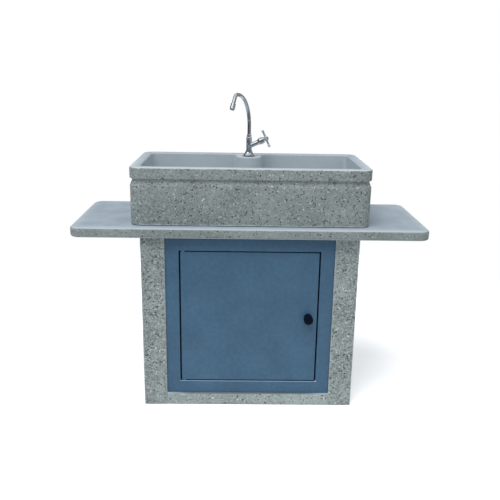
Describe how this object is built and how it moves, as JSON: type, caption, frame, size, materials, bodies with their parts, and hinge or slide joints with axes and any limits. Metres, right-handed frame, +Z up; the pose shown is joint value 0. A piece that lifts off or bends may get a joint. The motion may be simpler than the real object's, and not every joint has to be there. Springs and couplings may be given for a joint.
{
  "type": "sink cabinet",
  "caption": "Free-standing concrete sink cabinet: trough basin on an overhanging worktop, swan-neck tap, steel door in a steel frame between thick side panels.",
  "frame": {"origin": "on the floor, under the middle of the worktop", "axes": "+X to the right seen from the door side, +Y to the back, +Z up"},
  "size_m": [1.268, 0.46, 1.15],
  "materials": {
    "exposed_aggregate_concrete": "washed aggregate outside, trowelled smooth on top",
    "bedding_mortar": "raked joint",
    "blue_painted_steel": "satin powder coat",
    "zinc_plated_steel": "bright zinc",
    "black_phenolic": "moulded, glossy",
    "black_rubber": "moulded",
    "chromed_brass": "polished chrome plate",
    "bare_brass": "machined",
    "stainless_steel": "brushed",
    "alumina_ceramic": "lapped",
    "white_polypropylene": "moulded, satin",
    "grey_nylon": "moulded"
  },
  "bodies": {
    "cabinet": {"back_panel": "exposed_aggregate_concrete", "basin": "exposed_aggregate_concrete", "basin_bedding": "bedding_mortar", "door_bumpers": "black_rubber", "fixed_disc": "alumina_ceramic", "floor_dowels": "zinc_plated_steel", "floor_slab": "exposed_aggregate_concrete", "frame_head_rail": "blue_painted_steel", "frame_hinge_stile": "blue_painted_steel", "frame_latch_stile": "blue_painted_steel", "frame_screws": "zinc_plated_steel", "frame_sill_rail": "blue_painted_steel", "left_side_panel": "exposed_aggregate_concrete", "lower_pivot_washer": "blue_painted_steel", "outlet_nut": "white_polypropylene", "outlet_pipe": "white_polypropylene", "outlet_rosette": "white_polypropylene", "right_side_panel": "exposed_aggregate_concrete", "spout_collar": "chromed_brass", "tail_nut": "bare_brass", "tail_washer": "zinc_plated_steel", "tap_base_flange": "chromed_brass", "tap_body": "chromed_brass", "tap_gasket": "black_rubber", "tap_tail": "bare_brass", "trap_body": "white_polypropylene", "trap_cup": "white_polypropylene", "trap_seal": "black_rubber", "trap_union_nut": "white_polypropylene", "trap_washer": "black_rubber", "valve_bonnet": "chromed_brass", "wall_plugs": "grey_nylon", "waste_fitting": "stainless_steel", "waste_gasket": "black_rubber", "waste_nut": "bare_brass", "waste_strainer": "stainless_steel", "waste_washer": "zinc_plated_steel", "worktop_dowels": "zinc_plated_steel", "worktop_slab": "exposed_aggregate_concrete"},
    "door": {"door_leaf": "blue_painted_steel", "lower_pivot_pin": "zinc_plated_steel", "upper_pivot_pin": "zinc_plated_steel", "upper_pivot_washer": "blue_painted_steel", "latch_bush": "black_phenolic", "latch_bush_nut": "zinc_plated_steel"},
    "latch": {"door_knob": "black_phenolic", "latch_spindle": "zinc_plated_steel", "latch_cam": "zinc_plated_steel", "latch_cam_nut": "zinc_plated_steel"},
    "spout": {"spout": "chromed_brass", "aerator_sleeve": "chromed_brass", "aerator_screen": "stainless_steel"},
    "tap_handle": {"cross_handle": "chromed_brass", "handle_screw": "zinc_plated_steel", "handle_cap": "chromed_brass", "valve_spindle": "bare_brass", "moving_disc": "alumina_ceramic"}
  },
  "joints": [
    {"name": "door_hinge", "type": "hinge", "parent": "cabinet", "child": "door", "pos_m": [-0.2405, -0.185, 0.3535], "axis": [0, 0, -1], "range_deg": [0, 105]},
    {"name": "latch_turn", "type": "hinge", "parent": "door", "child": "latch", "pos_m": [0.2165, -0.194, 0.3575], "axis": [0, -1, 0], "range_deg": [0, 90]},
    {"name": "spout_swivel", "type": "hinge", "parent": "cabinet", "child": "spout", "pos_m": [-0.005, 0.136, 0.974], "axis": [0, 0, 1], "continuous": true},
    {"name": "handle_turn", "type": "hinge", "parent": "cabinet", "child": "tap_handle", "pos_m": [-0.005, 0.136, 0.942], "axis": [0.9063, 0, 0.4226], "range_deg": [0, 90]}
  ]
}
